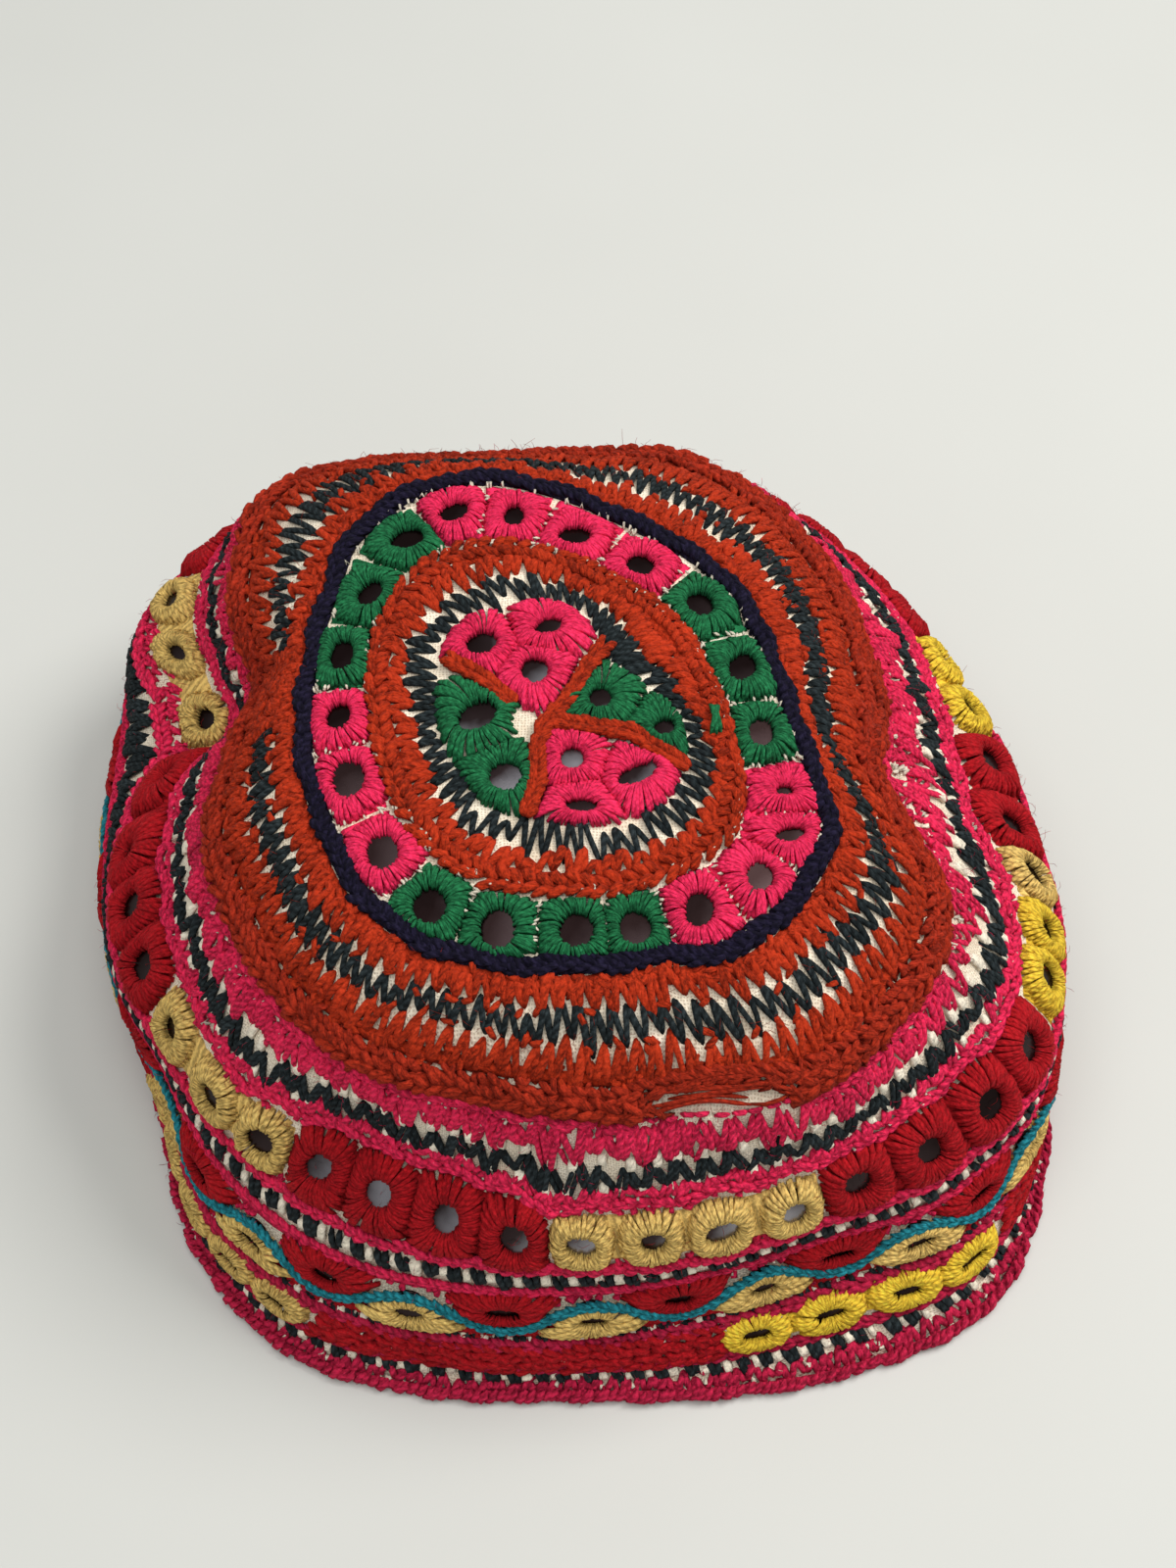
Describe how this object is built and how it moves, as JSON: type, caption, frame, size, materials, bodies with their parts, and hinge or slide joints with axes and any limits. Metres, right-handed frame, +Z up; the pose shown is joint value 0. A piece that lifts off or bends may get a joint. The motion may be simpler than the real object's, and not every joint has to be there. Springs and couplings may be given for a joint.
{
  "type": "sindhi cap",
  "caption": "Soft round embroidered cap with a domed crown panel, a deep side band and small mirrors set in eyelet stitches.",
  "frame": {"origin": "middle of the footprint, on the surface that the rim rests on", "axes": "+Z up through the crown; the side facing -Y is the side nearest the viewer in the picture; +X to that viewer's right"},
  "size_m": [0.1751, 0.1746, 0.0805],
  "materials": {
    "cloth": "plain woven cotton, matte",
    "orange_yarn": "wool yarn, matte and fuzzy",
    "pink_yarn": "cotton yarn, soft sheen",
    "red_yarn": "wool yarn, matte and fuzzy",
    "green_yarn": "cotton yarn, soft sheen",
    "black_yarn": "cotton yarn, matte",
    "navy_yarn": "wool yarn, matte",
    "tan_yarn": "cotton yarn, soft sheen",
    "yellow_yarn": "cotton yarn, soft sheen",
    "teal_yarn": "cotton yarn, soft sheen",
    "mirror_glass": "thin dull silvered glass"
  },
  "bodies": {
    "root": {"crown_panel": "cloth", "side_band": "cloth", "crown_edge_braid": "orange_yarn", "upper_row_mirrors_a": "mirror_glass", "upper_row_mirrors_b": "mirror_glass", "lens_row_mirrors_a": "mirror_glass", "lens_row_mirrors_b": "mirror_glass", "lower_row_mirrors_left": "mirror_glass", "lower_row_mirrors_right": "mirror_glass", "mirror_r01": "mirror_glass", "mirror_r02": "mirror_glass", "mirror_r03": "mirror_glass", "mirror_r04": "mirror_glass", "mirror_r05": "mirror_glass", "mirror_r06": "mirror_glass", "mirror_r07": "mirror_glass", "mirror_r08": "mirror_glass", "mirror_r09": "mirror_glass", "mirror_r10": "mirror_glass", "mirror_r11": "mirror_glass", "mirror_r12": "mirror_glass", "mirror_r13": "mirror_glass", "mirror_r14": "mirror_glass", "mirror_r15": "mirror_glass", "mirror_r16": "mirror_glass", "mirror_r17": "mirror_glass", "mirror_r18": "mirror_glass", "mirror_r19": "mirror_glass", "mirror_r20": "mirror_glass", "mirror_r21": "mirror_glass", "mirror_c01": "mirror_glass", "mirror_c02": "mirror_glass", "mirror_c03": "mirror_glass", "mirror_c04": "mirror_glass", "mirror_c05": "mirror_glass", "mirror_c06": "mirror_glass", "mirror_c07": "mirror_glass", "mirror_c08": "mirror_glass", "mirror_c09": "mirror_glass", "mirror_c10": "mirror_glass"}
  },
  "joints": []
}
